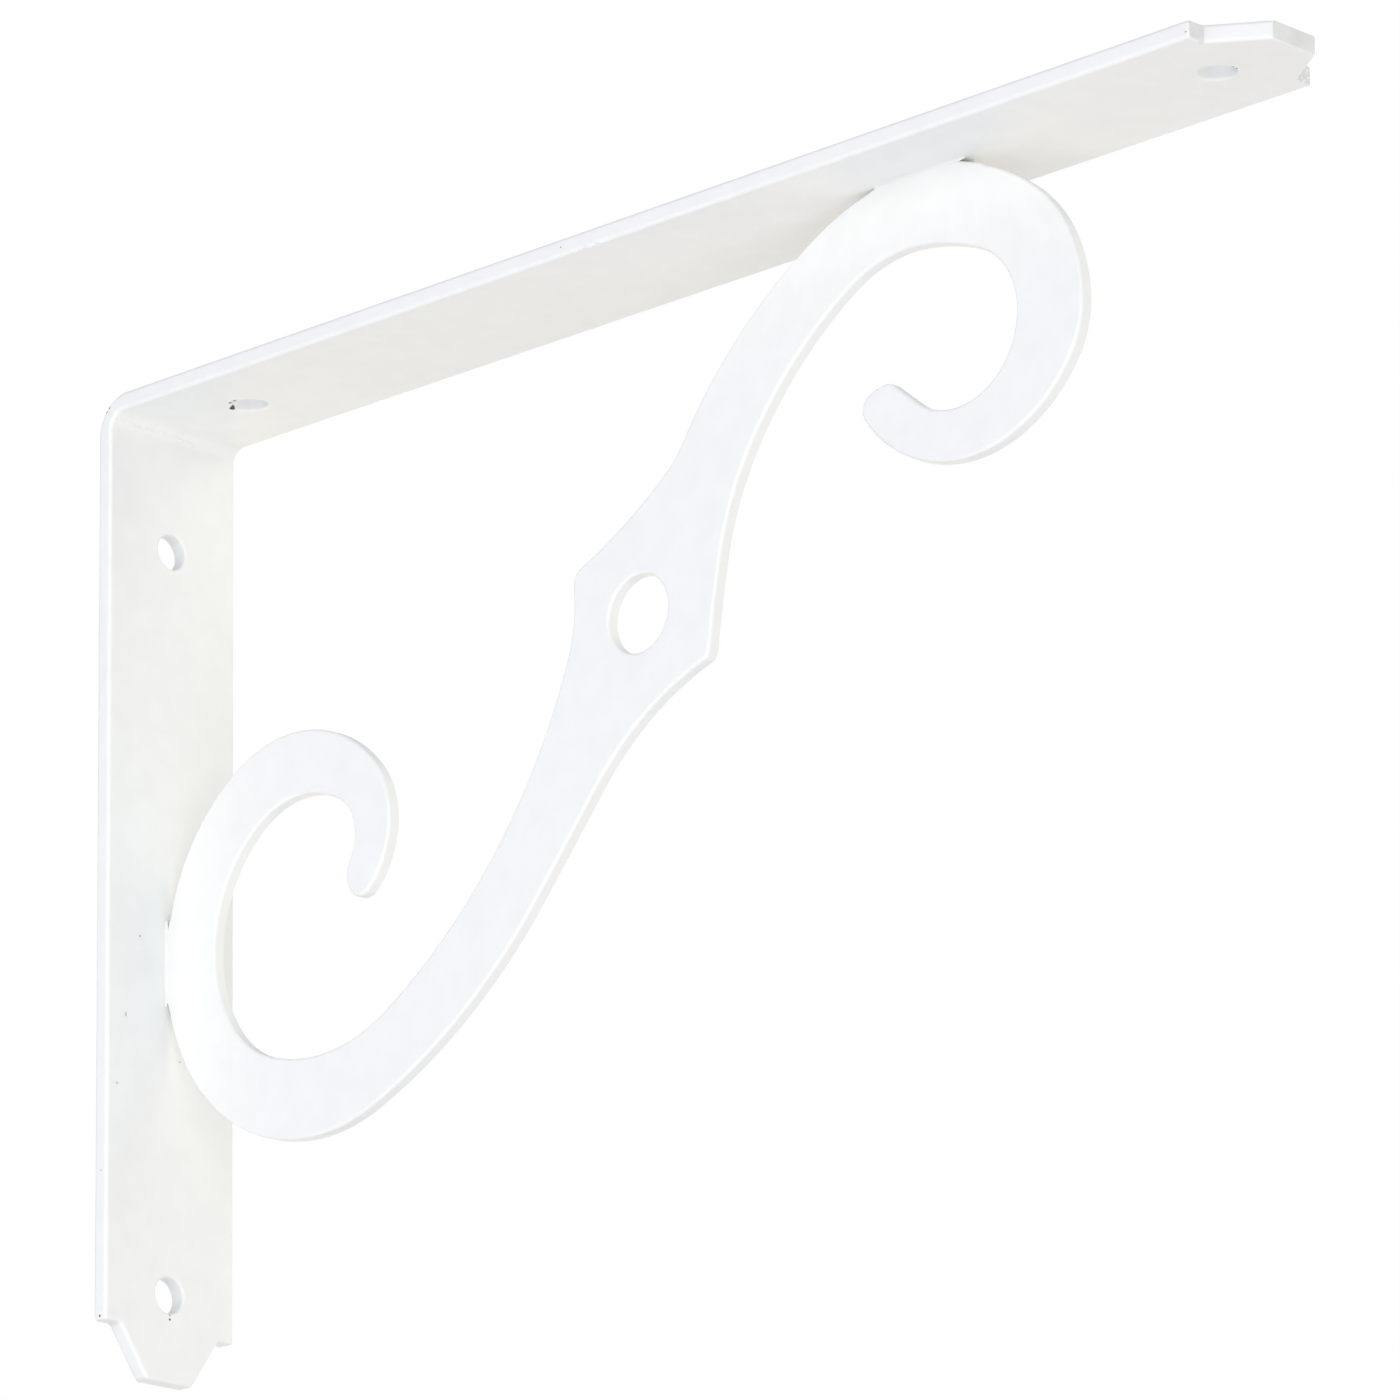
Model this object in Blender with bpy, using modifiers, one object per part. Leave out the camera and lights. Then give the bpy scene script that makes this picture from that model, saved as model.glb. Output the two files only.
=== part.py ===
"""Decorative shelf bracket: a bent steel strip and the flat scroll plate welded into it.

Metres, +Z up. The wall is the plane Y = 0 and the shelf arm points to -Y. The origin is on the
wall plane, midway between the two wall screws, and X = 0 is the middle of the strip's width.
"""

import math

import bmesh
import bpy
from mathutils import Matrix, Vector

MM = 0.001

# Strip
STRIP_WIDTH = 25.0
STRIP_THICKNESS = 2.7
WALL_ARM = 147.5
SHELF_ARM = 220.0
INNER_BEND_RADIUS = 2.3
OUTER_BEND_RADIUS = 6.0
BEND_STEPS = 10

# Clipped ends of the strip
POINT_LENGTH = 7.6
SHOULDER_NOTCH = 2.9
POINT_WIDTH = 8.6

# Screw holes, measured from the outside of the bend
SCREW_HOLE_DIAMETER = 5.9
WALL_SCREWS = (21.5, 134.5)
SHELF_SCREWS = (19.3, 206.5)

# Scroll plate
SCROLL_THICKNESS = 2.0
WELD_GAP = 0.3
BOSS_HOLE_DIAMETER = 11.4
BOSS_CENTRE = (99.1, -53.6)
LONGEST_CHORD = 4.0
TURN_PER_CHORD = 9.0

# Finish
EDGE_ROUNDING = 0.35
HOLE_SIDES = 32
CUTTER_REACH = 6.0
WHITE_COAT = (0.86, 0.86, 0.85, 1.0)
COAT_ROUGHNESS = 0.38

# The origin is this far below the shelf plane
ORIGIN_DROP = sum(WALL_SCREWS) / 2


def arc(radius, turn):
    """A stretch of outline that turns left by so many degrees, or right if the turn is negative."""
    return abs(math.radians(turn)) * radius, turn


def straight(length):
    """A stretch of outline that doesn't turn."""
    return length, 0.0


# The outline's two halves run anticlockwise, in millimetres from the outside of the bend:
# the first number goes away from the wall, the second goes up.
LOWER_TIP = (41.1, -77.1)
LOWER_TIP_HEADING = -122.0
FRONT_HALF = (
    arc(4.5, 64.8),      # round the lower tip
    arc(2.5, 98.8),
    arc(13.5, 86.8),     # outside of the lower volute
    arc(22.3, 83.4),
    arc(31.3, 170.2),
    arc(87.0, 27.2),     # underside of the stem
    straight(18.2),
    arc(44.9, -32.0),    # hollow below the boss
    arc(2.0, 65.0),      # point of the boss
    arc(169.0, -4.6),
    arc(42.6, -20.6),    # inside of the upper volute
    arc(57.0, -26.8),
    arc(21.4, -38.0),
    arc(35.4, -17.6),
    arc(11.4, -194.6),
    straight(5.3),
)
UPPER_TIP = (147.95, -32.08)
UPPER_TIP_HEADING = 140.0
BACK_HALF = (
    arc(2.1, 44.4),      # round the upper tip
    arc(8.0, 21.4),
    arc(2.5, 98.8),
    arc(22.7, 113.0),    # outside of the upper volute
    arc(13.6, 30.2),
    arc(22.9, 50.8),
    arc(32.9, 31.8),
    arc(37.3, 36.0),
    arc(71.0, 30.6),     # top of the stem
    arc(12.7, -19.0),    # hollow above the boss
    arc(81.0, -14.0),
    arc(2.6, 71.6),      # point of the boss
    arc(23.4, -26.6),
    arc(86.0, -38.8),
    arc(27.8, -52.0),    # inside of the lower volute
    arc(15.5, -32.4),
    arc(20.9, -91.0),
    arc(15.5, -66.4),
    arc(6.8, -90.4),
)


def clear_scene():
    """Removes whatever the file starts with."""
    for thing in list(bpy.data.objects):
        bpy.data.objects.remove(thing, do_unlink=True)


def new_collection(name):
    """A collection linked to the scene."""
    collection = bpy.data.collections.new(name)
    bpy.context.scene.collection.children.link(collection)
    return collection


def coat(name):
    """White powder coat on steel."""
    material = bpy.data.materials.new(name)
    material.use_nodes = True
    shader = material.node_tree.nodes["Principled BSDF"]
    shader.inputs["Base Color"].default_value = WHITE_COAT
    shader.inputs["Roughness"].default_value = COAT_ROUGHNESS
    shader.inputs["Metallic"].default_value = 0.0
    material.diffuse_color = WHITE_COAT
    return material


# Turns an outline's right, up and out into -Y, +Z and -X, with the bend's outside at its place
SIDE_VIEW = Matrix(((0, 0, -1, 0), (-1, 0, 0, 0), (0, 1, 0, ORIGIN_DROP * MM), (0, 0, 0, 1)))


def extruded(name, outline, thickness, placement):
    """A closed mesh from a flat outline in millimetres, extruded both ways from its plane."""
    flat = bpy.data.curves.new(name, "CURVE")
    flat.dimensions = "2D"
    flat.fill_mode = "BOTH"
    flat.extrude = thickness / 2 * MM
    spline = flat.splines.new("POLY")
    spline.points.add(len(outline) - 1)
    for point, (right, up) in zip(spline.points, outline):
        point.co = (right * MM, up * MM, 0.0, 1.0)
    spline.use_cyclic_u = True
    guide = bpy.data.objects.new(name + "_outline", flat)
    guide.matrix_world = placement
    bpy.context.scene.collection.objects.link(guide)
    bpy.context.view_layer.update()
    evaluated = guide.evaluated_get(bpy.context.evaluated_depsgraph_get())
    mesh = bpy.data.meshes.new_from_object(evaluated)
    welded = bmesh.new()
    welded.from_mesh(mesh)
    bmesh.ops.remove_doubles(welded, verts=welded.verts, dist=0.000001)
    bmesh.ops.dissolve_limit(welded, angle_limit=math.radians(0.5), verts=welded.verts, edges=welded.edges)
    bmesh.ops.recalc_face_normals(welded, faces=welded.faces)
    welded.to_mesh(mesh)
    welded.free()
    solid = bpy.data.objects.new(name, mesh)
    solid.matrix_world = guide.matrix_world
    bpy.data.objects.remove(guide, do_unlink=True)
    bpy.data.curves.remove(flat)
    return solid


def cylinder(name, diameter, length, centre, direction):
    """A closed round cutter."""
    mesh = bpy.data.meshes.new(name)
    shape = bmesh.new()
    bmesh.ops.create_cone(shape, cap_ends=True, segments=HOLE_SIDES, radius1=diameter / 2 * MM,
                          radius2=diameter / 2 * MM, depth=length * MM)
    shape.to_mesh(mesh)
    shape.free()
    solid = bpy.data.objects.new(name, mesh)
    turn = Vector(direction).to_track_quat("Z", "Y").to_matrix().to_4x4()
    solid.matrix_world = Matrix.Translation(Vector(centre) * MM) @ turn
    return solid


def cut(solid, cutters, cutter_collection):
    """Cuts the solid with each cutter, and keeps the cutters out of sight."""
    for cutter in cutters:
        cutter_collection.objects.link(cutter)
        cutter.hide_render = True
        cutter.display_type = "WIRE"
        boolean = solid.modifiers.new("cut_" + cutter.name, "BOOLEAN")
        boolean.operation = "DIFFERENCE"
        boolean.solver = "EXACT"
        boolean.object = cutter


def round_edges(solid):
    """Takes the sharpness off the outline's edges, as the coat does. The cuts made later stay sharp."""
    bevel = solid.modifiers.new("coated_edges", "BEVEL")
    bevel.width = EDGE_ROUNDING * MM
    bevel.segments = 2
    bevel.limit_method = "ANGLE"
    bevel.angle_limit = math.radians(40)
    bevel.use_clamp_overlap = False
    solid.data.shade_smooth()
    solid.data.set_sharp_from_angle(angle=math.radians(35))


def bent_profile():
    """The strip's side view: two arms and a quarter-turn bend, a little thinned, anticlockwise."""

    def quarter(radius, from_corner, first, last):
        centre = from_corner + radius
        turns = [math.radians(first + (last - first) * k / BEND_STEPS) for k in range(BEND_STEPS + 1)]
        return [(centre + radius * math.cos(t), radius * math.sin(t) - centre) for t in turns]

    wall_end = [(0.0, -WALL_ARM), (STRIP_THICKNESS, -WALL_ARM)]
    inside = quarter(INNER_BEND_RADIUS, STRIP_THICKNESS, 180, 90)
    shelf_end = [(SHELF_ARM, -STRIP_THICKNESS), (SHELF_ARM, 0.0)]
    outside = quarter(OUTER_BEND_RADIUS, 0.0, 90, 180)
    return wall_end + inside + shelf_end + outside


def end_clip(side):
    """What is cut away beside a pointed end: across the strip, then past its shoulder."""
    edge = STRIP_WIDTH / 2 + CUTTER_REACH
    notch = STRIP_WIDTH / 2 - SHOULDER_NOTCH
    past = POINT_LENGTH + CUTTER_REACH
    taper = (notch - POINT_WIDTH / 2) / POINT_LENGTH
    corners = [(notch, 0.0), (notch - taper * past, past), (edge, past), (edge, 0.0)]
    return [(side * across, along) for across, along in corners]


def strip_cutters():
    """The cutters for the screw holes and for the clipped ends."""
    cutters = []
    for number, drop in enumerate(WALL_SCREWS, 1):
        centre = (0.0, 0.0, ORIGIN_DROP - drop)
        cutters.append(cylinder(f"wall_screw_{number}", SCREW_HOLE_DIAMETER, 4 * STRIP_THICKNESS,
                                centre, (0, 1, 0)))
    for number, reach in enumerate(SHELF_SCREWS, 1):
        centre = (0.0, -reach, ORIGIN_DROP)
        cutters.append(cylinder(f"shelf_screw_{number}", SCREW_HOLE_DIAMETER, 4 * STRIP_THICKNESS,
                                centre, (0, 0, 1)))
    wall_shoulder = ORIGIN_DROP - WALL_ARM + POINT_LENGTH
    shelf_shoulder = SHELF_ARM - POINT_LENGTH
    # Across the strip and away from the bend, for an end that points down and one that points out
    down = Matrix(((1, 0, 0, 0), (0, 0, 1, 0), (0, -1, 0, wall_shoulder * MM), (0, 0, 0, 1)))
    out = Matrix(((1, 0, 0, 0), (0, -1, 0, -shelf_shoulder * MM), (0, 0, -1, ORIGIN_DROP * MM), (0, 0, 0, 1)))
    for name, placement in (("wall_end", down), ("shelf_end", out)):
        for side_name, side in (("left", -1), ("right", 1)):
            cutters.append(extruded(f"{name}_{side_name}", end_clip(side), 4 * STRIP_THICKNESS, placement))
    return cutters


def bent_strip(parts, cutters):
    """The bent strip with its screw holes and clipped ends."""
    strip = extruded("bent_strip", bent_profile(), STRIP_WIDTH, SIDE_VIEW)
    parts.objects.link(strip)
    round_edges(strip)
    cut(strip, strip_cutters(), cutters)
    strip.data.materials.append(coat("strip_coat"))
    return strip


def trace(start, heading, stretches):
    """Points along arcs and straights that follow on from each other without a corner."""
    right, up = start
    angle = math.radians(heading)
    points = [start]
    for length, turn in stretches:
        steps = max(1, math.ceil(length / LONGEST_CHORD), math.ceil(abs(turn) / TURN_PER_CHORD))
        if turn == 0.0:
            steps = 1
        half_step = math.radians(turn) / steps / 2
        chord = length / steps
        if half_step != 0.0:
            chord = chord * math.sin(half_step) / half_step
        for _ in range(steps):
            angle += half_step
            right += chord * math.cos(angle)
            up += chord * math.sin(angle)
            angle += half_step
            points.append((right, up))
    return points


def seated(outline):
    """The outline kept just off both arms, which leaves a flat seat where it meets each of them."""
    seat = STRIP_THICKNESS + WELD_GAP
    return [(max(right, seat), min(up, -seat)) for right, up in outline]


def scroll_plate(parts, cutters):
    """The flat S scroll with its pointed boss, standing on edge along the middle of the strip."""
    front = trace(LOWER_TIP, LOWER_TIP_HEADING, FRONT_HALF)
    back = trace(UPPER_TIP, UPPER_TIP_HEADING, BACK_HALF)
    outline = seated(front[:-1] + back[:-1])
    plate = extruded("scroll_plate", outline, SCROLL_THICKNESS, SIDE_VIEW)
    parts.objects.link(plate)
    round_edges(plate)
    centre = (0.0, -BOSS_CENTRE[0], ORIGIN_DROP + BOSS_CENTRE[1])
    cut(plate, [cylinder("boss_hole", BOSS_HOLE_DIAMETER, 4 * STRIP_THICKNESS, centre, (1, 0, 0))], cutters)
    plate.data.materials.append(coat("scroll_coat"))
    return plate


def main():
    clear_scene()
    parts = new_collection("decorative_shelf_bracket")
    cutters = new_collection("cutters")
    bent_strip(parts, cutters)
    scroll_plate(parts, cutters)
    bpy.context.view_layer.update()


main()
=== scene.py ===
"""Looks of a white powder-coated shelf bracket: a bent steel strip and a flat scroll plate.

Metres, +Z up. Outlines are in millimetres from the outside of the bend: the first number goes away
from the wall, the second goes up.
"""

import math
import random

import bmesh
import bpy
from mathutils import Matrix, Vector


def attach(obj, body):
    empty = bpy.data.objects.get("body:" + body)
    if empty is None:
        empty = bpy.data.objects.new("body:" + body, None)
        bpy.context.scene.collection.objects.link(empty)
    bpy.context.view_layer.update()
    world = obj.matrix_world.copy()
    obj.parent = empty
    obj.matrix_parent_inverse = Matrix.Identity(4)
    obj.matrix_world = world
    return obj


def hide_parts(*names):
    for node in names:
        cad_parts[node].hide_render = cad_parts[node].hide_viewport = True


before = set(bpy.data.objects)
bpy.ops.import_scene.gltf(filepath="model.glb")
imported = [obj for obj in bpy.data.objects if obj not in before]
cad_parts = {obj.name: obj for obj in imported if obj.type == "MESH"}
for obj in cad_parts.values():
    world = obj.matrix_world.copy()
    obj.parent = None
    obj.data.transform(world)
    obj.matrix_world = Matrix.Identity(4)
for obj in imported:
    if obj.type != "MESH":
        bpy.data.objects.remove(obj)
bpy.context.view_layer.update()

MM = 0.001

# Sizes, in millimetres
STRIP_WIDTH = 25.0
THICKNESS = 2.7
SCROLL_THICKNESS = 2.0
WALL_ARM = 147.5
SHELF_ARM = 220.0
INNER_BEND_RADIUS = 2.3
OUTER_BEND_RADIUS = 6.0
BEND_STEPS = 24
POINT_LENGTH = 7.6
SHOULDER_NOTCH = 2.9
POINT_WIDTH = 8.6
COATED_HOLE_DIAMETER = 5.4
WALL_SCREWS = (21.5, 134.5)
SHELF_SCREWS = (19.3, 206.5)
BOSS_HOLE_DIAMETER = 11.4
BOSS_CENTRE = (99.1, -53.6)
ORIGIN_DROP = sum(WALL_SCREWS) / 2

# Where the scroll is let into the arms: how far out on the shelf arm, and at what height on the wall
# arm. Past the shelf seat it leaves the arm on a slope, and from this near to the arms it is moved.
SHELF_SEAT = (145.2, 160.6)
SHELF_SEAT_SLOPE = 0.36
SHELF_SEAT_NEAR = 2.0
WALL_SEAT = (-91.6, -78.4)
WALL_SEAT_BRIDGE = 0.6
SEAT_SINK = 0.9

# The weld's fillets: their reach along the shelf arm, size, unevenness and how far they are tucked in
SHELF_WELD = (145.2, 162.2)
WELD_FILLET = 0.55
WELD_UNEVENNESS = (0.8, 1.2)
WELD_SWELLS = 8
WELD_STATIONS = 40
WELD_SIDES = 8
WELD_TUCK_DOWN = 0.15
WELD_TUCK_IN = 0.2
WELD_OVERLAP = 0.05

# How far the cutters of the ends reach past the strip, and the length of the round ones
CUTTER_SPARE = 6.0
CUTTER_LENGTH = 4 * THICKNESS

# Rounding of the coated edges: on the near and far side, at the ends, and round the screw holes. Edges
# that turn by more than ROUNDED_CORNER degrees get it, and SHARP_CORNER is where shading breaks.
STRIP_ROUNDING = (0.6, 0.25)
END_ROUNDING = 0.55
HOLE_ROUNDING = 0.45
SCROLL_ROUNDING = (0.5, 0.2)
ROUNDING_STEPS = 4
ROUNDED_CORNER = 35.0
SHARP_CORNER = 40.0

# An edge is a screw hole's rim if it is this near the strip's middle, as a share of the hole's width
RIM_NEARNESS = 0.55

# A dent's sphere, as a share of the dent's width: its radius, and how far its middle is above the coat
DENT_RADIUS = 0.58
DENT_LIFT = 0.3

# Small flaws in the coat, in the row frame: the place, the way the surface faces, the width, and how
# many times taller than wide it is
BARE_PITS = (
    ((-12.43, -2.3, 76.3), (-1, 0.3, 0.3), 0.5, 1.0),      # nicks on the outside of the bend
    ((-12.43, -1.7, 75.75), (-1, 0.3, 0.3), 0.5, 1.3),
    ((-0.95, -16.65, 75.45), (0.2, -0.8, -1), 1.25, 1.0),  # chip at the rim of the inner shelf hole
    ((0.0, -2.7, -59.4), (0, -1, 0), 0.4, 1.0),            # pits under the lower wall hole
    ((0.0, -2.7, -60.1), (0, -1, 0), 0.38, 1.0),
    ((-12.5, -1.4, -61.3), (-1, 0, 0), 0.36, 1.3),         # nick near the end of the wall arm
)
SOFT_PITS = (
    # These two dents are part of the chip: their dull grey is partly painted shade on the chip's inner
    # wall
    ((-3.1, -19.5, 75.3), (0.3, 0, -1), 0.9, 1.0),         # more of the chip at the inner shelf hole
    ((-3.0, -18.4, 75.3), (0.3, 0, -1), 0.8, 1.0),
    ((-0.3, -209.45, 75.32), (0, 0.3, -1), 0.65, 1.0),     # chip at the rim of the outer shelf hole
    ((0.5, -209.5, 75.32), (0, 0.3, -1), 0.5, 1.0),
    ((-12.5, -211.8, 76.3), (-1, 0, 0), 0.26, 1.0),        # faint nicks on the near edge
    ((-12.5, -96.13, 76.7), (-1, 0, 0), 0.26, 1.0),
)
DUST_SPECKS = (
    ((-6.2, -2.7, -3.8), (0, -1, 0), 0.4, 1.0),
    ((-8.9, -2.7, -16.1), (0, -1, 0), 0.34, 2.2),
    ((1.8, -2.7, -21.4), (0, -1, 0), 0.42, 0.6),
    ((-10.6, -2.7, -26.7), (0, -1, 0), 0.34, 1.0),
    ((-12.5, -1.5, -39.8), (-1, 0, 0), 0.26, 1.5),
)
BARE_GREY = 0.1
DULL_GREY_AND_SHADE = 0.3
DUST_GREY = 0.5

# The blistered patch on the shelf arm's near edge: its reach, and its lumps' number, size, stretch,
# flatness, turn round the edge and depth in the coat
ROUGH_PATCH = (-104.0, -95.5)
ROUGH_LUMPS = 30
ROUGH_LUMP = (0.14, 0.34)
ROUGH_STRETCH = (1.0, 1.9)
ROUGH_FLATNESS = 0.7
ROUGH_TURN = (10, 80)
ROUGH_SINK = 0.1

# Curls of coat: round the chip at the inner shelf hole, and on the shelf arm's far notch
CURL_MIDDLE = (-1.3, -16.6)
CURL_COUNT = 9
CURL_FIRST_TURN = 63
CURL_TURN = 15
CURL_AWAY = (0.55, 0.75)
CURL_SIZE = (0.1, 0.22)
CURL_THICKNESS = 0.07
NOTCH_CURLS = 16
NOTCH_CURL_WIDTH = (0.15, 0.4)
NOTCH_CURL_HEIGHT = (0.15, 0.35)
NOTCH_CURL_THICKNESS = 0.12

# The bead of coat inside the bend: from where to where across the strip, where round the bend in
# degrees, its thickness, how far it is sunk as a share of its reach, and a lone drop further across
CREASE_REACH = (-12.0, 3.6)
CREASE_TURN = 38.0
CREASE_DRIFT = 9.0
CREASE_WANDER = 3.0
CREASE_THICKNESS = 0.62
CREASE_UNEVENNESS = (0.6, 1.15)
CREASE_SINK = 0.6
CREASE_BEADS = 60
CREASE_BEAD_LENGTH = 0.4
DROP_ACROSS = 6.6
DROP_TURN = 34.0
DROP_LENGTH = 0.35

# The coat: lightness and blue where it is thin and thick, roughness, peel, how much the painted shade on
# the shelf arm's tip end darkens it, and how fine each unevenness is, per metre
COAT_LIGHTNESS = (0.86, 0.887)
COAT_YELLOW = (0.991, 0.993)
COAT_ROUGHNESS = (0.3, 0.46)
PEEL_STRENGTH = 0.25
PEEL_DEPTH = 0.00006
TINT_FINENESS = 260.0
GLOSS_FINENESS = 420.0
PEEL_FINENESS = 1500.0
TIP_PAINTED_SHADE = 0.9
SPECKLE_FINENESS = 4000.0

# The camera, in metres, and its lens in millimetres
LENS = 217.35
CAMERA_PLACE = (-0.812895, -0.878152, -0.335571)
CAMERA_FORWARD = (0.69449303, 0.65632316, 0.29482085)
CAMERA_UP = (-0.20345393, -0.21389567, 0.95543453)

# The ground, in metres
FLOOR_HEIGHT = -1.9
FLOOR_SIZE = 12.0
FLOOR_WHITE = (0.9, 0.9, 0.9, 1.0)


def arc(radius, turn):
    """A stretch of outline that turns left by so many degrees, or right if the turn is negative."""
    return abs(math.radians(turn)) * radius, turn


def straight(length):
    """A stretch of outline that doesn't turn."""
    return length, 0.0


LOWER_TIP = (41.1, -77.1)
LOWER_TIP_HEADING = -122.0
FRONT_HALF = (
    arc(4.5, 64.8),      # round the lower tip
    arc(2.5, 98.8),
    arc(13.5, 86.8),     # outside of the lower volute
    arc(22.3, 83.4),
    arc(31.3, 170.2),
    arc(87.0, 27.2),     # underside of the stem
    straight(18.2),
    arc(44.9, -32.0),    # hollow below the boss
    arc(2.0, 65.0),      # point of the boss
    arc(169.0, -4.6),
    arc(42.6, -20.6),    # inside of the upper volute
    arc(57.0, -26.8),
    arc(21.4, -38.0),
    arc(35.4, -17.6),
    arc(11.4, -194.6),
    straight(5.3),
)
UPPER_TIP = (147.95, -32.08)
UPPER_TIP_HEADING = 140.0
BACK_HALF = (
    arc(2.1, 44.4),      # round the upper tip
    arc(8.0, 21.4),
    arc(2.5, 98.8),
    arc(22.7, 113.0),    # outside of the upper volute
    arc(13.6, 30.2),
    arc(22.9, 50.8),
    arc(32.9, 31.8),
    arc(37.3, 36.0),
    arc(71.0, 30.6),     # top of the stem
    arc(12.7, -19.0),    # hollow above the boss
    arc(81.0, -14.0),
    arc(2.6, 71.6),      # point of the boss
    arc(23.4, -26.6),
    arc(86.0, -38.8),
    arc(27.8, -52.0),    # inside of the lower volute
    arc(15.5, -32.4),
    arc(20.9, -91.0),
    arc(15.5, -66.4),
    arc(6.8, -90.4),
)
LONGEST_CHORD = 1.0
TURN_PER_CHORD = 3.5


def trace(start, heading, stretches):
    """Points along arcs and straights that follow on from each other without a corner."""
    right, up = start
    angle = math.radians(heading)
    points = [start]
    for length, turn in stretches:
        steps = max(1, math.ceil(length / LONGEST_CHORD), math.ceil(abs(turn) / TURN_PER_CHORD))
        half_step = math.radians(turn) / steps / 2
        chord = length / steps
        if half_step != 0.0:
            chord = chord * math.sin(half_step) / half_step
        for _ in range(steps):
            angle += half_step
            right += chord * math.cos(angle)
            up += chord * math.sin(angle)
            angle += half_step
            points.append((right, up))
    return points


def place(right, up, across):
    """A point of the side view, and how far across the strip it is, in the row frame."""
    return Vector((across * MM, -right * MM, (up + ORIGIN_DROP) * MM))


def flat_solid(name, outline, thickness):
    """A closed mesh from a side-view outline, as thick as given across the strip."""
    mesh = bpy.data.meshes.new(name)
    shape = bmesh.new()
    corners = [shape.verts.new(place(right, up, -thickness / 2)) for right, up in outline]
    face = shape.faces.new(corners)
    moved = bmesh.ops.extrude_face_region(shape, geom=[face])["geom"]
    far = [item for item in moved if isinstance(item, bmesh.types.BMVert)]
    bmesh.ops.translate(shape, verts=far, vec=(thickness * MM, 0, 0))
    bmesh.ops.recalc_face_normals(shape, faces=shape.faces)
    shape.to_mesh(mesh)
    shape.free()
    solid = bpy.data.objects.new(name, mesh)
    bpy.context.scene.collection.objects.link(solid)
    return solid


def cylinder(name, diameter, centre, direction, sides=64):
    """A closed round cutter."""
    mesh = bpy.data.meshes.new(name)
    shape = bmesh.new()
    turn = Vector(direction).to_track_quat("Z", "Y").to_matrix().to_4x4()
    bmesh.ops.create_cone(shape, cap_ends=True, segments=sides, radius1=diameter / 2 * MM,
                          radius2=diameter / 2 * MM, depth=CUTTER_LENGTH * MM,
                          matrix=Matrix.Translation(centre) @ turn)
    shape.to_mesh(mesh)
    shape.free()
    cutter = bpy.data.objects.new(name, mesh)
    bpy.context.scene.collection.objects.link(cutter)
    return cutter


def cut(solid, cutters):
    """Cuts the solid with each cutter, keeps the result and removes the cutters.

    A cutter with a colour of its own leaves it on the cut, and its parts may overlap.
    """
    for cutter in cutters:
        boolean = solid.modifiers.new(cutter.name, "BOOLEAN")
        boolean.operation = "DIFFERENCE"
        boolean.solver = "EXACT"
        if cutter.data.materials:
            boolean.material_mode = "TRANSFER"
            boolean.use_self = True
        boolean.object = cutter
    settle(solid)
    for cutter in cutters:
        bpy.data.objects.remove(cutter, do_unlink=True)


def settle(solid):
    """Keeps what the modifiers make as the object's own mesh."""
    bpy.context.view_layer.update()
    evaluated = solid.evaluated_get(bpy.context.evaluated_depsgraph_get())
    mesh = bpy.data.meshes.new_from_object(evaluated)
    solid.modifiers.clear()
    solid.data = mesh


def row_point(x, y, z):
    """A place in the row frame, from millimetres."""
    return Vector((x, y, z)) * MM


def dents(name, spots, lining):
    """Cutters for shallow dents, all in one mesh, with the colour that shows inside them."""
    mesh = bpy.data.meshes.new(name)
    shape = bmesh.new()
    for spot, facing, width, tallness in spots:
        out = Vector(facing).normalized()
        turn = out.to_track_quat("Z", "Y").to_matrix().to_4x4()
        radius = DENT_RADIUS * width * MM
        size = Matrix.Diagonal((radius, DENT_RADIUS * width * tallness * MM, radius, 1.0))
        middle = Matrix.Translation(row_point(*spot) + out * DENT_LIFT * width * MM)
        bmesh.ops.create_icosphere(shape, subdivisions=2, radius=1.0, matrix=middle @ turn @ size)
    shape.to_mesh(mesh)
    shape.free()
    mesh.materials.append(lining)
    cutter = bpy.data.objects.new(name, mesh)
    bpy.context.scene.collection.objects.link(cutter)
    return cutter


def strip_rounding(one, two):
    """How far the strip's edge between two ends is rounded."""
    middle = (one + two) / 2
    if max(abs(one.x), abs(two.x)) < RIM_NEARNESS * COATED_HOLE_DIAMETER * MM:
        return HOLE_ROUNDING
    on_inside = middle.y < -THICKNESS / 2 * MM and middle.z < (ORIGIN_DROP - THICKNESS / 2) * MM
    across_the_tip = abs(middle.x) < 0.001 * MM
    if across_the_tip and on_inside:
        return END_ROUNDING
    return STRIP_ROUNDING[0] if middle.x < -POINT_WIDTH / 4 * MM else STRIP_ROUNDING[1]


def scroll_rounding(one, two):
    """How far the scroll's edge between two ends is rounded."""
    return SCROLL_ROUNDING[0] if one.x + two.x < 0 else SCROLL_ROUNDING[1]


def round_edges(solid, rounding, flaws=()):
    """Rounds every clear corner, as pressing and a thick coat do, then cuts the coat's flaws.

    An edge's weight is its rounding in millimetres, because the bevel is one millimetre wide.
    """
    shape = bmesh.new()
    shape.from_mesh(solid.data)
    weight = shape.edges.layers.float.new("bevel_weight_edge")
    for edge in shape.edges:
        if edge.calc_face_angle(0.0) > math.radians(ROUNDED_CORNER):
            edge[weight] = rounding(edge.verts[0].co, edge.verts[1].co)
    shape.to_mesh(solid.data)
    shape.free()
    bevel = solid.modifiers.new("coated_edges", "BEVEL")
    bevel.width = MM
    bevel.segments = ROUNDING_STEPS
    bevel.limit_method = "WEIGHT"
    bevel.use_clamp_overlap = False
    bevel.miter_outer = "MITER_ARC"
    settle(solid)
    if flaws:
        cut(solid, flaws)
    solid.data.shade_smooth()
    solid.data.set_sharp_from_angle(angle=math.radians(SHARP_CORNER))
    weighted = solid.modifiers.new("flat_faces", "WEIGHTED_NORMAL")
    weighted.weight = 100
    weighted.keep_sharp = True
    settle(solid)


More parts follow.
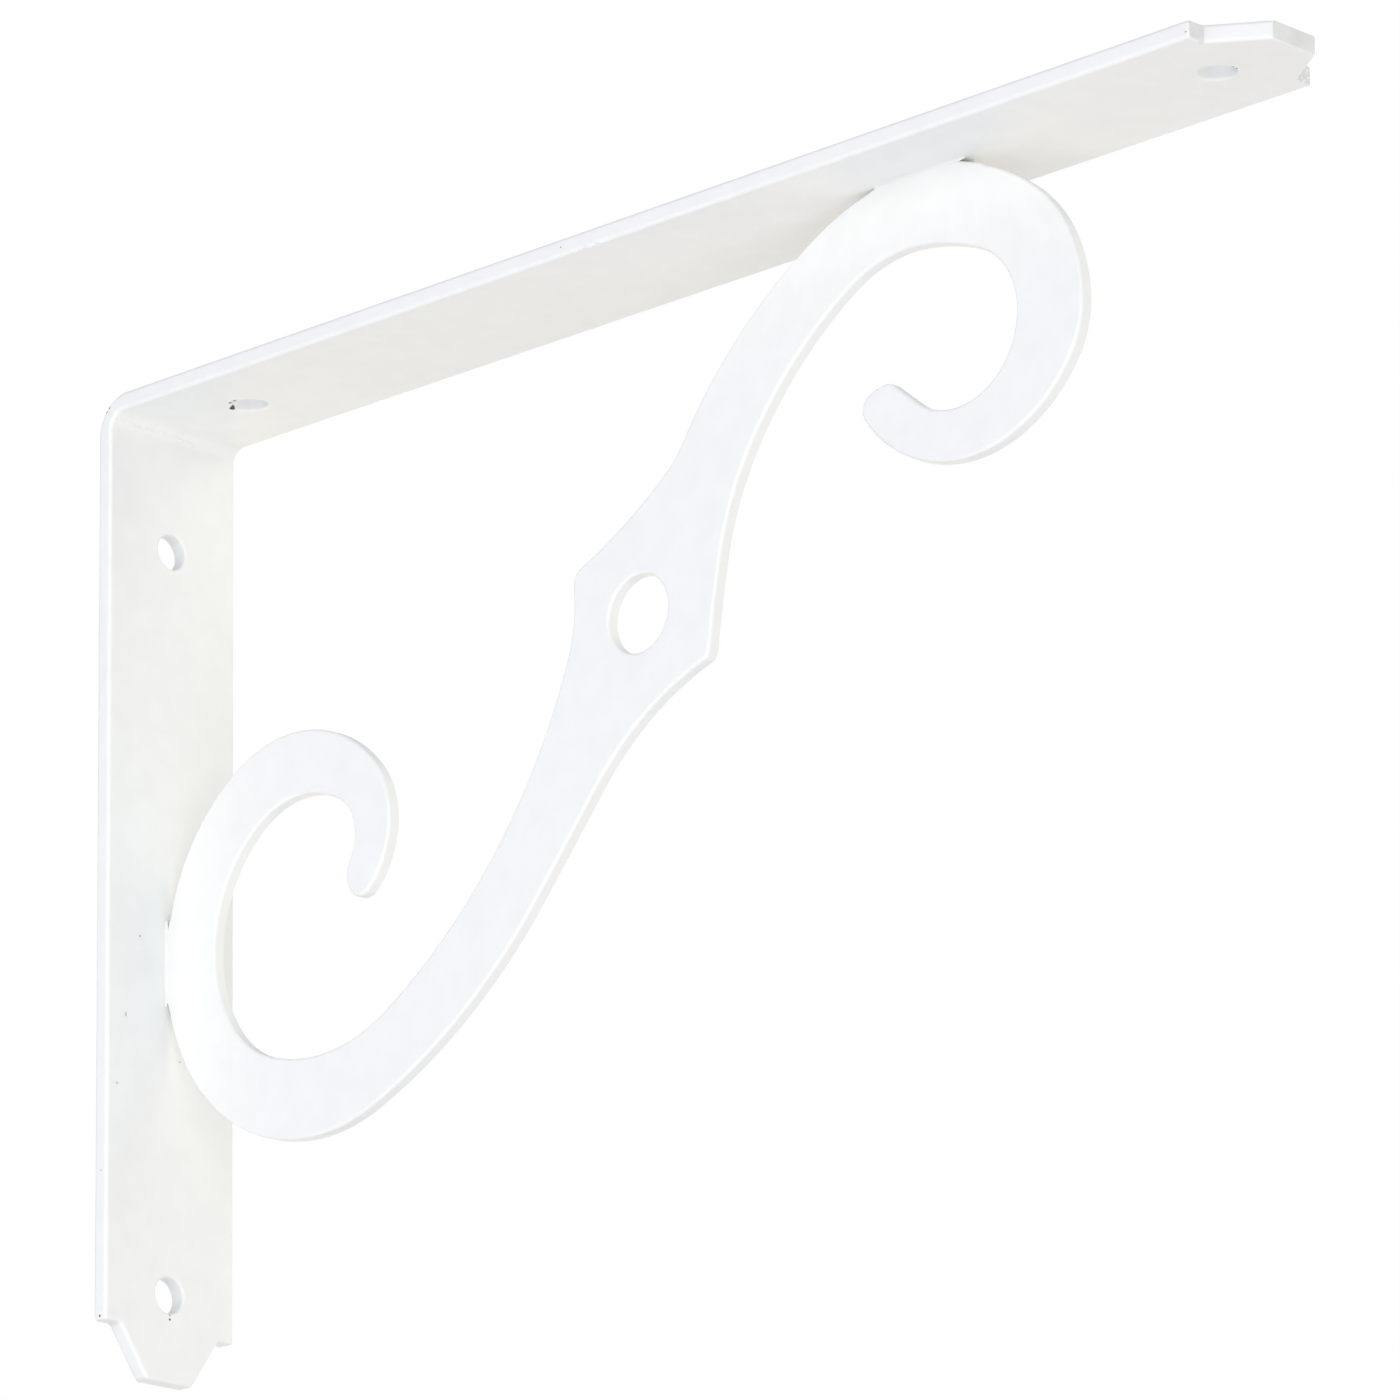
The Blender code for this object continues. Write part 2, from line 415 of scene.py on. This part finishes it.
def bent_profile():
    """The strip's side view: two arms and a quarter-turn bend, a little thinned, anticlockwise."""

    def quarter(radius, from_corner, first, last):
        centre = from_corner + radius
        turns = [math.radians(first + (last - first) * k / BEND_STEPS) for k in range(BEND_STEPS + 1)]
        return [(centre + radius * math.cos(t), radius * math.sin(t) - centre) for t in turns]

    wall_end = [(0.0, -WALL_ARM), (THICKNESS, -WALL_ARM)]
    inside = quarter(INNER_BEND_RADIUS, THICKNESS, 180, 90)
    shelf_end = [(SHELF_ARM, -THICKNESS), (SHELF_ARM, 0.0)]
    outside = quarter(OUTER_BEND_RADIUS, 0.0, 90, 180)
    return wall_end + inside + shelf_end + outside


def end_cutter(name, side, towards_wall_end):
    """What is cut away beside a pointed end: across the strip, then past its shoulder."""
    past = POINT_LENGTH + CUTTER_SPARE
    notch = STRIP_WIDTH / 2 - SHOULDER_NOTCH
    taper = (notch - POINT_WIDTH / 2) / POINT_LENGTH
    edge = STRIP_WIDTH / 2 + CUTTER_SPARE
    corners = [(notch, 0.0), (notch - taper * past, past), (edge, past), (edge, 0.0)]
    mesh = bpy.data.meshes.new(name)
    shape = bmesh.new()
    reach = 2 * THICKNESS
    verts = []
    for across, along in corners:
        if towards_wall_end:
            corner = place(-reach, -(WALL_ARM - POINT_LENGTH) - along, side * across)
        else:
            corner = place(SHELF_ARM - POINT_LENGTH + along, -reach, side * across)
        verts.append(shape.verts.new(corner))
    face = shape.faces.new(verts)
    moved = bmesh.ops.extrude_face_region(shape, geom=[face])["geom"]
    far = [item for item in moved if isinstance(item, bmesh.types.BMVert)]
    shift = (0, -2 * reach * MM, 0) if towards_wall_end else (0, 0, 2 * reach * MM)
    bmesh.ops.translate(shape, verts=far, vec=shift)
    bmesh.ops.recalc_face_normals(shape, faces=shape.faces)
    shape.to_mesh(mesh)
    shape.free()
    cutter = bpy.data.objects.new(name, mesh)
    bpy.context.scene.collection.objects.link(cutter)
    return cutter


def coated_strip(coat, painted_shade_coat):
    """The bent strip with its screw holes, clipped ends, rounded edges and chipped coat."""
    strip = flat_solid("coated_strip", bent_profile(), STRIP_WIDTH)
    strip.data.materials.append(coat)
    strip.data.materials.append(painted_shade_coat)
    cutters = []
    for number, drop in enumerate(WALL_SCREWS, 1):
        cutters.append(cylinder(f"wall_screw_{number}", COATED_HOLE_DIAMETER,
                                place(0, -drop, 0), (0, 1, 0)))
    for number, reach in enumerate(SHELF_SCREWS, 1):
        cutters.append(cylinder(f"shelf_screw_{number}", COATED_HOLE_DIAMETER,
                                place(reach, 0, 0), (0, 0, 1)))
    for towards_wall_end in (True, False):
        for side in (-1, 1):
            cutters.append(end_cutter(f"end_{towards_wall_end}_{side}", side, towards_wall_end))
    cut(strip, cutters)
    # The shelf arm's tip end and its notches' shoulders take the second coat, darkened as painted shade
    shelf_shoulder = -(SHELF_ARM - POINT_LENGTH - 0.5) * MM
    for face in strip.data.polygons:
        faces_outward = face.normal.y < -0.9
        if faces_outward and face.center.y < shelf_shoulder:
            face.material_index = 1
    round_edges(strip, strip_rounding, [
        dents("bare_pits", BARE_PITS, plain("bare_steel", BARE_GREY, 0.7)),
        # The soft pits' dull grey is steel showing through; at the inner shelf hole's chip it is partly
        # painted shade
        dents("soft_pits", SOFT_PITS, plain("dull_steel_and_shade", DULL_GREY_AND_SHADE, 0.7)),
        dents("dust_specks", DUST_SPECKS, plain("dust", DUST_GREY, 0.6)),
    ])
    return strip


def lumps(name, spots):
    """Low rounded lumps of coat, each half sunk in the surface: a place, and its reach each way."""
    mesh = bpy.data.meshes.new(name)
    shape = bmesh.new()
    for spot, reach in spots:
        size = Matrix.Diagonal((*[value * MM for value in reach], 1.0))
        middle = Matrix.Translation(row_point(*spot))
        bmesh.ops.create_icosphere(shape, subdivisions=2, radius=1.0, matrix=middle @ size)
    shape.to_mesh(mesh)
    shape.free()
    mesh.shade_smooth()
    piece = bpy.data.objects.new(name, mesh)
    bpy.context.scene.collection.objects.link(piece)
    return piece


def rough_patch():
    """Lumps where the coat has run and blistered on the near edge of the shelf arm."""
    rng = random.Random(12)
    rounding = STRIP_ROUNDING[0]
    middle = (-STRIP_WIDTH / 2 + rounding, ORIGIN_DROP - THICKNESS + rounding)
    depth = rounding - ROUGH_SINK
    spots = []
    for _ in range(ROUGH_LUMPS):
        along = rng.uniform(*ROUGH_PATCH)
        turn = math.radians(rng.uniform(*ROUGH_TURN))
        reach = rng.uniform(*ROUGH_LUMP)
        flat = reach * ROUGH_FLATNESS
        across = max(middle[0] - depth * math.cos(turn), flat - STRIP_WIDTH / 2)
        spots.append(((across, along, middle[1] - depth * math.sin(turn)),
                      (flat, reach * rng.uniform(*ROUGH_STRETCH), flat)))
    return lumps("rough_patch", spots)


def chip_curls():
    """Curled coat around the chip at the inner shelf hole and on the far notch of the shelf arm."""
    rng = random.Random(4)
    under = ORIGIN_DROP - THICKNESS
    spots = []
    for k in range(CURL_COUNT):
        turn = math.radians(CURL_FIRST_TURN + CURL_TURN * k + rng.uniform(-6, 6))
        away = rng.uniform(*CURL_AWAY)
        across = CURL_MIDDLE[0] + away * math.cos(turn)
        along = CURL_MIDDLE[1] + away * math.sin(turn)
        spots.append(((across, along, under),
                      (rng.uniform(*CURL_SIZE), rng.uniform(*CURL_SIZE), CURL_THICKNESS)))
    shoulder = SHELF_ARM - POINT_LENGTH
    for _ in range(NOTCH_CURLS):
        reach = rng.uniform(*NOTCH_CURL_WIDTH)
        across = STRIP_WIDTH / 2 - rng.uniform(reach, SHOULDER_NOTCH)
        along = -shoulder + rng.uniform(0.0, 0.1)
        height = ORIGIN_DROP - rng.uniform(0.5, THICKNESS - 0.3)
        spots.append(((across, along, height),
                      (reach, NOTCH_CURL_THICKNESS, rng.uniform(*NOTCH_CURL_HEIGHT))))
    return lumps("coat_curls", spots)


def bend_crease():
    """The thin bead of coat gathered along the inside of the bend."""
    rng = random.Random(9)
    middle = -INNER_BEND_RADIUS - THICKNESS
    spots = []

    def bead(across, turn, reach, length):
        away = INNER_BEND_RADIUS + CREASE_SINK * reach
        turn = math.radians(turn)
        along = middle + away * math.cos(turn)
        height = ORIGIN_DROP + middle + away * math.sin(turn)
        spots.append(((across, along, height), (length, reach, reach)))

    first, last = CREASE_REACH
    for k in range(CREASE_BEADS):
        across = first + (last - first) * k / (CREASE_BEADS - 1)
        drift = CREASE_DRIFT * max(0.0, across / last)
        turn = CREASE_TURN - drift + rng.uniform(-CREASE_WANDER, CREASE_WANDER)
        bead(across, turn, CREASE_THICKNESS / 2 * rng.uniform(*CREASE_UNEVENNESS), CREASE_BEAD_LENGTH)
    bead(DROP_ACROSS, DROP_TURN, CREASE_THICKNESS / 2, DROP_LENGTH)
    return lumps("bend_crease", spots)


def seated(outline):
    """The outline let into both arms along its welds: flat above, a touching curve at the side."""
    points = []
    for right, up in outline:
        shelf_gap = -THICKNESS - up
        wall_gap = right - THICKNESS
        if shelf_gap < SHELF_SEAT_NEAR:
            ramp = max(SHELF_SEAT[0] - right, right - SHELF_SEAT[1]) * SHELF_SEAT_SLOPE
            up = -THICKNESS - max(-SEAT_SINK, min(shelf_gap, ramp))
        if wall_gap < WALL_SEAT_BRIDGE:
            pull = SEAT_SINK * min(1.0, 1.0 - wall_gap / WALL_SEAT_BRIDGE) ** 2
            right = THICKNESS + max(-SEAT_SINK, wall_gap - pull)
        points.append((right, up))
    return points


def coated_scroll(coat):
    """The flat S scroll with its pointed boss, hole and rounded edges."""
    front = trace(LOWER_TIP, LOWER_TIP_HEADING, FRONT_HALF)
    back = trace(UPPER_TIP, UPPER_TIP_HEADING, BACK_HALF)
    scroll = flat_solid("coated_scroll", seated(front[:-1] + back[:-1]), SCROLL_THICKNESS)
    scroll.data.materials.append(coat)
    cut(scroll, [cylinder("boss_hole", BOSS_HOLE_DIAMETER, place(*BOSS_CENTRE, 0), (1, 0, 0), 96)])
    round_edges(scroll, scroll_rounding)
    return scroll


def weld_fillet(name, start, end, outward, side, seed):
    """A small hollow fillet of weld and coat between the scroll's face and an arm."""
    rng = random.Random(seed)
    face = SCROLL_THICKNESS / 2
    mesh = bpy.data.meshes.new(name)
    shape = bmesh.new()
    rings = []
    swells = [rng.uniform(*WELD_UNEVENNESS) for _ in range(WELD_SWELLS + 1)]
    for k in range(WELD_STATIONS + 1):
        t = k / WELD_STATIONS
        spot = t * WELD_SWELLS
        low = min(WELD_SWELLS - 1, int(spot))
        mix = spot - low
        swell = swells[low] * (1 - mix) + swells[low + 1] * mix
        taper = max(0.02, math.sin(math.pi * t)) ** 0.35
        size = WELD_FILLET * swell * taper
        base = Vector((start[0] + (end[0] - start[0]) * t, start[1] + (end[1] - start[1]) * t))
        ring = []
        for j in range(WELD_SIDES + 1):
            turn = math.pi / 2 * j / WELD_SIDES
            across = size * (1 - math.sin(turn))
            away = size * (1 - math.cos(turn))
            rim = base + Vector(outward) * away
            ring.append(shape.verts.new(place(rim.x, rim.y, side * (face - WELD_OVERLAP + across))))
        corner = base - Vector(outward) * WELD_TUCK_DOWN
        ring.append(shape.verts.new(place(corner.x, corner.y, side * (face - WELD_TUCK_IN))))
        rings.append(ring)
    count = WELD_SIDES + 2
    for one, two in zip(rings, rings[1:]):
        for j in range(count):
            shape.faces.new((one[j], one[(j + 1) % count], two[(j + 1) % count], two[j]))
    shape.faces.new(rings[0])
    shape.faces.new(rings[-1])
    bmesh.ops.recalc_face_normals(shape, faces=shape.faces)
    shape.to_mesh(mesh)
    shape.free()
    mesh.shade_smooth()
    fillet = bpy.data.objects.new(name, mesh)
    bpy.context.scene.collection.objects.link(fillet)
    return fillet


def plain(name, grey, roughness):
    """A dull grey for bare steel, dust, and painted shade in one chip, uneven in tone."""
    material = bpy.data.materials.new(name)
    material.use_nodes = True
    nodes = material.node_tree.nodes
    links = material.node_tree.links
    shader = nodes["Principled BSDF"]
    shader.inputs["Roughness"].default_value = roughness
    place_node = nodes.new("ShaderNodeTexCoord")
    speckle = nodes.new("ShaderNodeTexNoise")
    speckle.inputs["Scale"].default_value = SPECKLE_FINENESS
    links.new(place_node.outputs["Object"], speckle.inputs["Vector"])
    tint = nodes.new("ShaderNodeValToRGB")
    tint.color_ramp.elements[0].color = (0.6 * grey, 0.6 * grey, 0.58 * grey, 1.0)
    tint.color_ramp.elements[1].color = (1.4 * grey, 1.4 * grey, 1.38 * grey, 1.0)
    links.new(speckle.outputs["Fac"], tint.inputs["Fac"])
    links.new(tint.outputs["Color"], shader.inputs["Base Color"])
    return material


def powder_coat(name, painted_shade_factor=1.0):
    """White powder coat: fine orange peel, slightly uneven gloss and tint.

    A factor below one darkens it all over, as painted shade.
    """
    material = bpy.data.materials.new(name)
    material.use_nodes = True
    nodes = material.node_tree.nodes
    links = material.node_tree.links
    shader = nodes["Principled BSDF"]
    place_node = nodes.new("ShaderNodeTexCoord")

    def noise(scale, detail):
        node = nodes.new("ShaderNodeTexNoise")
        node.inputs["Scale"].default_value = scale
        node.inputs["Detail"].default_value = detail
        links.new(place_node.outputs["Object"], node.inputs["Vector"])
        return node

    low = COAT_LIGHTNESS[0] * painted_shade_factor ** 2
    high = COAT_LIGHTNESS[1] * painted_shade_factor
    tint = nodes.new("ShaderNodeValToRGB")
    tint.color_ramp.elements[0].position = 0.3
    tint.color_ramp.elements[0].color = (low, low, COAT_YELLOW[0] * low, 1.0)
    tint.color_ramp.elements[1].position = 0.7
    tint.color_ramp.elements[1].color = (high, high, COAT_YELLOW[1] * high, 1.0)
    links.new(noise(TINT_FINENESS, 4.0).outputs["Fac"], tint.inputs["Fac"])
    links.new(tint.outputs["Color"], shader.inputs["Base Color"])
    gloss = nodes.new("ShaderNodeMapRange")
    gloss.inputs["To Min"].default_value = COAT_ROUGHNESS[0]
    gloss.inputs["To Max"].default_value = COAT_ROUGHNESS[1]
    links.new(noise(GLOSS_FINENESS, 3.0).outputs["Fac"], gloss.inputs["Value"])
    links.new(gloss.outputs["Result"], shader.inputs["Roughness"])
    peel = nodes.new("ShaderNodeBump")
    peel.inputs["Strength"].default_value = PEEL_STRENGTH
    peel.inputs["Distance"].default_value = PEEL_DEPTH
    links.new(noise(PEEL_FINENESS, 2.0).outputs["Fac"], peel.inputs["Height"])
    links.new(peel.outputs["Normal"], shader.inputs["Normal"])
    return material


def pale_floor():
    """A plain pale floor well below the bracket."""
    mesh = bpy.data.meshes.new("floor")
    shape = bmesh.new()
    bmesh.ops.create_grid(shape, x_segments=1, y_segments=1, size=FLOOR_SIZE)
    shape.to_mesh(mesh)
    shape.free()
    floor = bpy.data.objects.new("floor", mesh)
    floor.location = (0, 0, FLOOR_HEIGHT)
    bpy.context.scene.collection.objects.link(floor)
    material = bpy.data.materials.new("floor")
    material.use_nodes = True
    shader = material.node_tree.nodes["Principled BSDF"]
    shader.inputs["Base Color"].default_value = FLOOR_WHITE
    shader.inputs["Roughness"].default_value = 0.9
    mesh.materials.append(material)
    return floor


def camera():
    """The photograph's camera, looking up and to the right."""
    data = bpy.data.cameras.new("camera")
    data.lens = LENS
    data.sensor_width = 36.0
    data.clip_start = 0.05
    data.clip_end = 60.0
    eye = bpy.data.objects.new("camera", data)
    forward = Vector(CAMERA_FORWARD).normalized()
    right = forward.cross(Vector(CAMERA_UP)).normalized()
    up = right.cross(forward)
    turn = Matrix((right, up, -forward)).transposed().to_4x4()
    eye.matrix_world = Matrix.Translation(CAMERA_PLACE) @ turn
    bpy.context.scene.collection.objects.link(eye)
    bpy.context.scene.camera = eye


def softbox(name, azimuth, elevation, strength, colour,
            distance=1.5, size=1.3, aim=(0.0, -0.09, 0.01)):
    """A soft square lamp out at an angle from a place on the bracket, unseen by the camera."""
    data = bpy.data.lights.new(name, "AREA")
    data.shape = "SQUARE"
    data.size = size
    data.energy = 4 * math.pi * distance ** 2 * strength
    data.color = colour
    turn = math.radians(azimuth)
    lift = math.radians(elevation)
    outward = Vector((math.sin(turn) * math.cos(lift), -math.cos(turn) * math.cos(lift), math.sin(lift)))
    lamp = bpy.data.objects.new(name, data)
    lamp.location = Vector(aim) + outward * distance
    lamp.rotation_mode = "QUATERNION"
    lamp.rotation_quaternion = (-outward).to_track_quat("-Z", "Y")
    lamp.visible_camera = False
    bpy.context.scene.collection.objects.link(lamp)


def studio():
    """Plain soft light all round, over a white ground."""
    world = bpy.data.worlds.new("studio")
    bpy.context.scene.world = world
    world.use_nodes = True
    nodes = world.node_tree.nodes
    links = world.node_tree.links
    sky = nodes["Background"]
    sky.inputs["Color"].default_value = (0.78, 0.83, 1.0, 1.0)
    sky.inputs["Strength"].default_value = 0.538
    ground = nodes.new("ShaderNodeBackground")
    ground.inputs["Color"].default_value = (1.0, 1.0, 1.0, 1.0)
    ground.inputs["Strength"].default_value = 1.0
    seen = nodes.new("ShaderNodeLightPath")
    choose = nodes.new("ShaderNodeMixShader")
    links.new(seen.outputs["Is Camera Ray"], choose.inputs["Fac"])
    links.new(sky.outputs["Background"], choose.inputs[1])
    links.new(ground.outputs["Background"], choose.inputs[2])
    links.new(choose.outputs["Shader"], nodes["World Output"].inputs["Surface"])
    softbox("front_left", 315, 0, 0.23, (0.96, 1.0, 0.83))
    softbox("low_front_left", 315, -45, 0.234, (0.99, 1.0, 0.99))
    softbox("left", 270, 0, 0.238, (1.0, 0.9, 0.88))
    softbox("front_right", 45, 0, 0.096, (1.0, 0.7, 0.51))
    softbox("high_front_right", 45, 45, 0.217, (0.99, 1.0, 0.7))
    softbox("low_front_right", 45, -45, 0.099, (1.0, 0.88, 0.52))
    softbox("right", 90, 0, 0.124, (0.7, 1.0, 0.93))
    softbox("low_right", 90, -45, 0.056, (0.97, 1.0, 0.82))
    softbox("back_right", 135, 0, 0.192, (1.0, 0.75, 0.39))
    softbox("close_left", 270, 0, 0.13, (0.89, 1.0, 0.85),
            distance=0.3, size=0.25, aim=(0.0, -0.02, -0.03))
    bpy.context.scene.view_settings.view_transform = "Standard"


def main():
    coat = powder_coat("powder_coat")
    # The strip's second coat is the same coat darkened as painted shade, for the shelf arm's tip end
    strip = coated_strip(coat, powder_coat("painted_shade_coat", TIP_PAINTED_SHADE))
    scroll = coated_scroll(coat)
    on_strip = [rough_patch(), chip_curls(), bend_crease()]
    on_scroll = []
    for side, side_name in ((-1, "near"), (1, "far")):
        on_scroll.append(weld_fillet(f"shelf_weld_{side_name}", (SHELF_WELD[0], -THICKNESS),
                                     (SHELF_WELD[1], -THICKNESS), (0, -1), side, 5 + side))
        on_scroll.append(weld_fillet(f"wall_weld_{side_name}", (THICKNESS, WALL_SEAT[0]),
                                     (THICKNESS, WALL_SEAT[1]), (1, 0), side, 15 + side))
    for piece in on_strip + on_scroll:
        piece.data.materials.append(coat)
    for piece in [strip] + on_strip:
        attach(piece, "root")
    for piece in [scroll] + on_scroll:
        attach(piece, "root")
    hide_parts("bent_strip")
    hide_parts("scroll_plate")
    pale_floor()
    camera()
    studio()


main()
